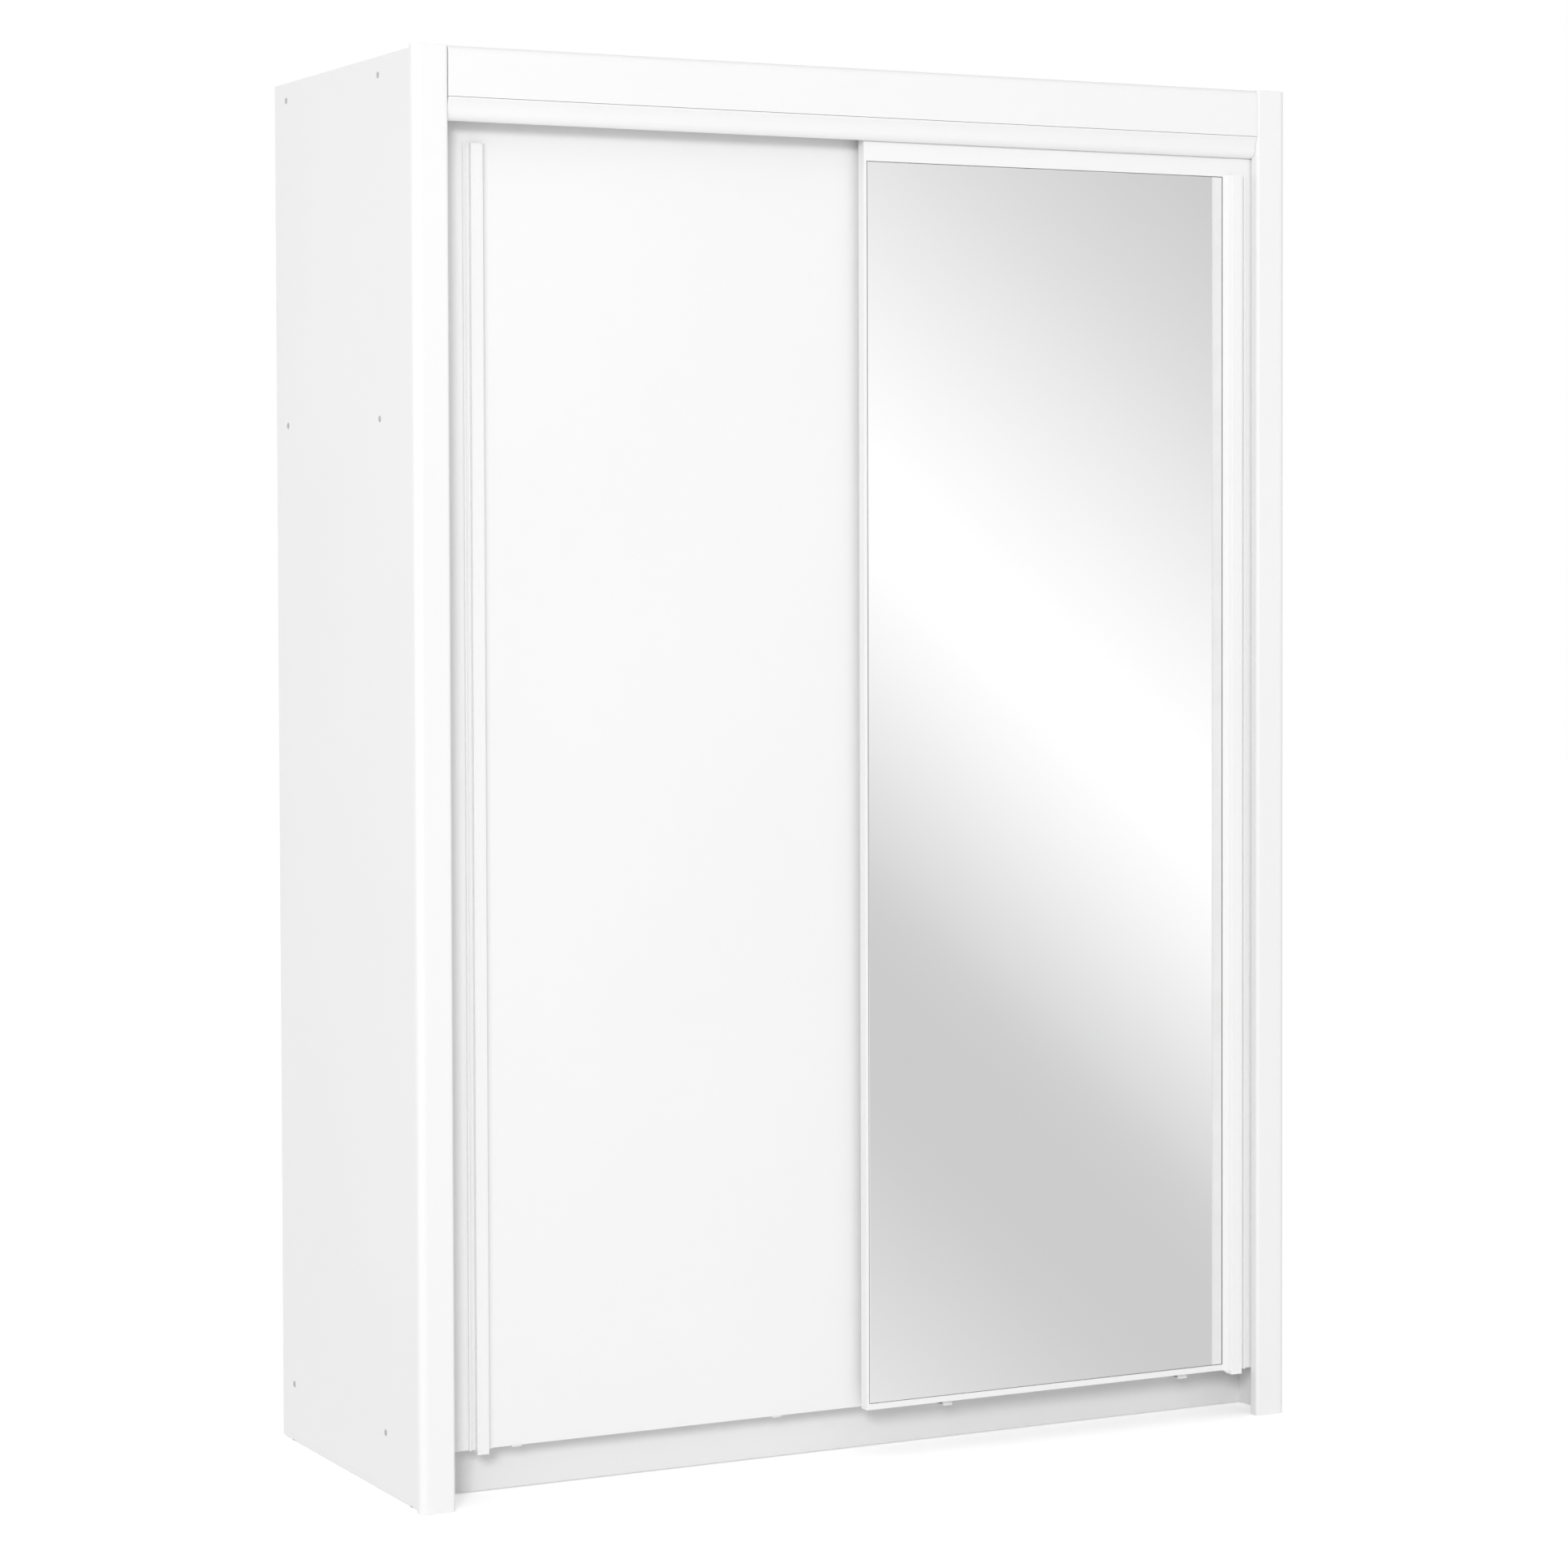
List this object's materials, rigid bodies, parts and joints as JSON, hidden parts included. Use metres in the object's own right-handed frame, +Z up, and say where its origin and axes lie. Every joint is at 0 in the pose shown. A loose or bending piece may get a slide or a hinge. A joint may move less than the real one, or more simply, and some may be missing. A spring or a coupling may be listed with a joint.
{
  "type": "sliding door wardrobe",
  "caption": "Tall free-standing wardrobe with a plain sliding door and a mirrored sliding door, full-height grip handles, a header, pilasters, shelves and a hanging rail.",
  "frame": {"origin": "on the floor under the middle of the wardrobe's bounding box", "axes": "+Z up, the doors and the pilasters face -Y, +X to the right of a person facing the doors"},
  "size_m": [1.5, 0.6, 2.131],
  "materials": {
    "melamine_board": "white melamine-faced chipboard, satin, with matching edge band",
    "front_lacquer": "smooth white foil-wrapped fibreboard, satin",
    "back_hardboard": "white-faced hardboard, matt brown-grey rear face",
    "joint_plastic": "white extruded plastic",
    "handle_profile": "white foil-wrapped moulded profile, satin",
    "mirror_glass": "silvered float glass, polished",
    "track_aluminium": "extruded, satin anodised",
    "zinc_steel": "zinc-plated sheet steel",
    "wheel_nylon": "natural nylon",
    "buffer_rubber": "black moulded rubber",
    "rail_chrome": "bright chromed steel",
    "cap_plastic": "light grey moulded cover cap",
    "glide_plastic": "grey moulded glide"
  },
  "bodies": {
    "carcass": {"adjustable_shelf_1": "melamine_board", "adjustable_shelf_2": "melamine_board", "adjustable_shelf_3": "melamine_board", "back_joint_strip": "joint_plastic", "back_panel_left": "back_hardboard", "back_panel_right": "back_hardboard", "bottom_panel": "melamine_board", "centre_partition": "melamine_board", "glide_left_front": "glide_plastic", "glide_left_rear": "glide_plastic", "glide_right_front": "glide_plastic", "glide_right_rear": "glide_plastic", "hanging_rail": "rail_chrome", "hat_shelf_left": "melamine_board", "hat_shelf_right": "melamine_board", "header_cove": "front_lacquer", "header_fascia": "front_lacquer", "lower_guide_rail": "track_aluminium", "pilaster_left": "front_lacquer", "pilaster_right": "front_lacquer", "plinth_cross_rail": "melamine_board", "plinth_front": "melamine_board", "plinth_rear": "melamine_board", "rail_cup_left": "rail_chrome", "rail_cup_right": "rail_chrome", "screw_cap_left_bottom_front": "cap_plastic", "screw_cap_left_bottom_rear": "cap_plastic", "screw_cap_left_shelf_front": "cap_plastic", "screw_cap_left_shelf_rear": "cap_plastic", "screw_cap_left_top_front": "cap_plastic", "screw_cap_left_top_rear": "cap_plastic", "screw_cap_right_bottom_front": "cap_plastic", "screw_cap_right_bottom_rear": "cap_plastic", "screw_cap_right_shelf_front": "cap_plastic", "screw_cap_right_shelf_rear": "cap_plastic", "screw_cap_right_top_front": "cap_plastic", "screw_cap_right_top_rear": "cap_plastic", "side_panel_left": "melamine_board", "side_panel_right": "melamine_board", "top_panel": "melamine_board", "track_buffer_mirror": "buffer_rubber", "track_buffer_plain": "buffer_rubber", "upper_track": "track_aluminium"},
    "plain_door": {"plain_door_guide_left": "joint_plastic", "plain_door_guide_right": "joint_plastic", "plain_door_handle": "handle_profile", "plain_door_hanger_left": "zinc_steel", "plain_door_hanger_right": "zinc_steel", "plain_door_panel": "front_lacquer"},
    "mirror_door": {"mirror_door_guide_left": "joint_plastic", "mirror_door_guide_right": "joint_plastic", "mirror_door_handle": "handle_profile", "mirror_door_hanger_left": "zinc_steel", "mirror_door_hanger_right": "zinc_steel", "mirror_door_panel": "front_lacquer", "mirror_pane": "mirror_glass"},
    "mirror_wheel_left": {"mirror_door_wheel_left": "wheel_nylon"},
    "mirror_wheel_right": {"mirror_door_wheel_right": "wheel_nylon"},
    "plain_wheel_left": {"plain_door_wheel_left": "wheel_nylon"},
    "plain_wheel_right": {"plain_door_wheel_right": "wheel_nylon"}
  },
  "joints": [
    {"name": "plain_door_slide", "type": "slide", "parent": "carcass", "child": "plain_door", "axis": [1, 0, 0], "range_m": [0, 0.6]},
    {"name": "mirror_door_slide", "type": "slide", "parent": "carcass", "child": "mirror_door", "axis": [1, 0, 0], "range_m": [-0.7, 0]},
    {"name": "plain_wheel_left_spin", "type": "hinge", "parent": "plain_door", "child": "plain_wheel_left", "pos_m": [-0.636, -0.239, 2.0567], "axis": [0, 1, 0], "continuous": true},
    {"name": "plain_wheel_right_spin", "type": "hinge", "parent": "plain_door", "child": "plain_wheel_right", "pos_m": [-0.084, -0.239, 2.0567], "axis": [0, 1, 0], "continuous": true},
    {"name": "mirror_wheel_left_spin", "type": "hinge", "parent": "mirror_door", "child": "mirror_wheel_left", "pos_m": [0.084, -0.27, 2.0567], "axis": [0, 1, 0], "continuous": true},
    {"name": "mirror_wheel_right_spin", "type": "hinge", "parent": "mirror_door", "child": "mirror_wheel_right", "pos_m": [0.636, -0.27, 2.0567], "axis": [0, 1, 0], "continuous": true}
  ],
  "couplings": [
    {"joint": "plain_wheel_left_spin", "follows": "plain_door_slide", "rad_per_m": 86.957},
    {"joint": "plain_wheel_right_spin", "follows": "plain_door_slide", "rad_per_m": 86.957},
    {"joint": "mirror_wheel_left_spin", "follows": "mirror_door_slide", "rad_per_m": 86.957},
    {"joint": "mirror_wheel_right_spin", "follows": "mirror_door_slide", "rad_per_m": 86.957}
  ]
}
